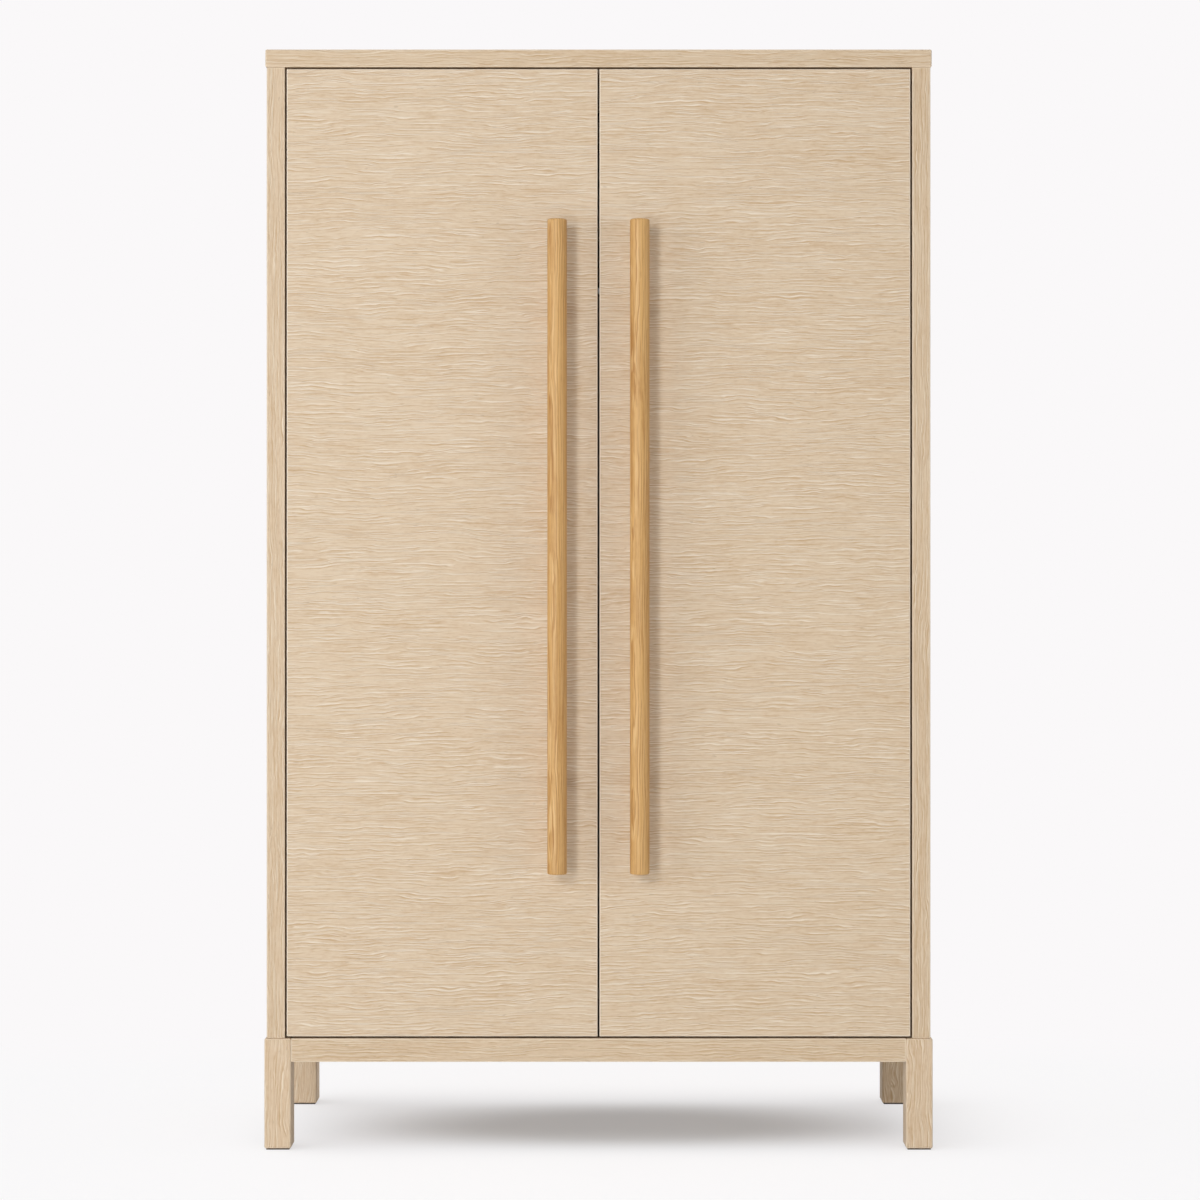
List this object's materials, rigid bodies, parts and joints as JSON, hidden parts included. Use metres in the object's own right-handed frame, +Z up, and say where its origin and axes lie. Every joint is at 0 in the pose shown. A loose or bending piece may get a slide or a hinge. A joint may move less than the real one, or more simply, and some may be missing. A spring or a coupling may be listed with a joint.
{
  "type": "wardrobe",
  "caption": "Tall free-standing wardrobe with flush pale oak doors, long round wooden bar handles, a hanging rail, an upper shelf and a legged base frame.",
  "frame": {"origin": "on the floor, under the middle of the whole outline, handles included", "axes": "+Z up, +X to the right seen from the front, +Y towards the back; the doors face -Y"},
  "size_m": [1.1, 0.6085, 1.811],
  "materials": {
    "case_oak": "matt lacquered pale oak veneer",
    "inner_oak": "matt pale oak veneer",
    "base_oak": "matt lacquered solid pale oak",
    "handle_oak": "satin oiled honey oak",
    "dowel_beech": "bare beech",
    "glide_felt": "dark pressed felt",
    "fitting_steel": "nickel plated",
    "rail_chrome": "bright chrome",
    "catch_plastic": "tan moulded plastic",
    "magnet_ferrite": "dull dark ferrite"
  },
  "bodies": {
    "case": {"back_panel": "inner_oak", "back_panel_screws": "fitting_steel", "base_cross_rail": "base_oak", "base_dowels": "dowel_beech", "base_screws": "fitting_steel", "bottom_panel": "inner_oak", "cam_bolts": "fitting_steel", "cam_locks": "fitting_steel", "case_dowels": "dowel_beech", "catch_magnets": "magnet_ferrite", "catch_screws": "fitting_steel", "front_apron": "base_oak", "front_left_leg": "base_oak", "front_right_leg": "base_oak", "hanging_rail": "rail_chrome", "hinge_arm_screws": "fitting_steel", "hinge_plate_screws": "fitting_steel", "left_apron": "base_oak", "left_catch": "catch_plastic", "left_hinge_arms": "fitting_steel", "left_hinge_plates": "fitting_steel", "left_rail_socket": "rail_chrome", "left_side_panel": "case_oak", "leg_glides": "glide_felt", "rail_socket_screws": "fitting_steel", "rear_apron": "base_oak", "rear_left_leg": "base_oak", "rear_right_leg": "base_oak", "right_apron": "base_oak", "right_catch": "catch_plastic", "right_hinge_arms": "fitting_steel", "right_hinge_plates": "fitting_steel", "right_rail_socket": "rail_chrome", "right_side_panel": "case_oak", "shelf_pins": "fitting_steel", "top_front_rail": "inner_oak", "top_panel": "case_oak", "top_rear_rail": "inner_oak", "upper_shelf": "inner_oak"},
    "left_door_leaf": {"left_door": "case_oak", "left_handle_bar": "handle_oak", "left_handle_posts": "handle_oak", "left_handle_bolts": "fitting_steel", "left_hinge_cups": "fitting_steel", "left_hinge_pins": "fitting_steel", "left_cup_screws": "fitting_steel", "left_strike_plate": "fitting_steel", "left_strike_screws": "fitting_steel"},
    "right_door_leaf": {"right_door": "case_oak", "right_handle_bar": "handle_oak", "right_handle_posts": "handle_oak", "right_handle_bolts": "fitting_steel", "right_hinge_cups": "fitting_steel", "right_hinge_pins": "fitting_steel", "right_cup_screws": "fitting_steel", "right_strike_plate": "fitting_steel", "right_strike_screws": "fitting_steel"}
  },
  "joints": [
    {"name": "left_door_hinge", "type": "hinge", "parent": "case", "child": "left_door_leaf", "pos_m": [-0.492, -0.23025, 0.9825], "axis": [0, 0, -1], "range_deg": [0, 100]},
    {"name": "right_door_hinge", "type": "hinge", "parent": "case", "child": "right_door_leaf", "pos_m": [0.492, -0.23025, 0.9825], "axis": [0, 0, 1], "range_deg": [0, 100]}
  ]
}
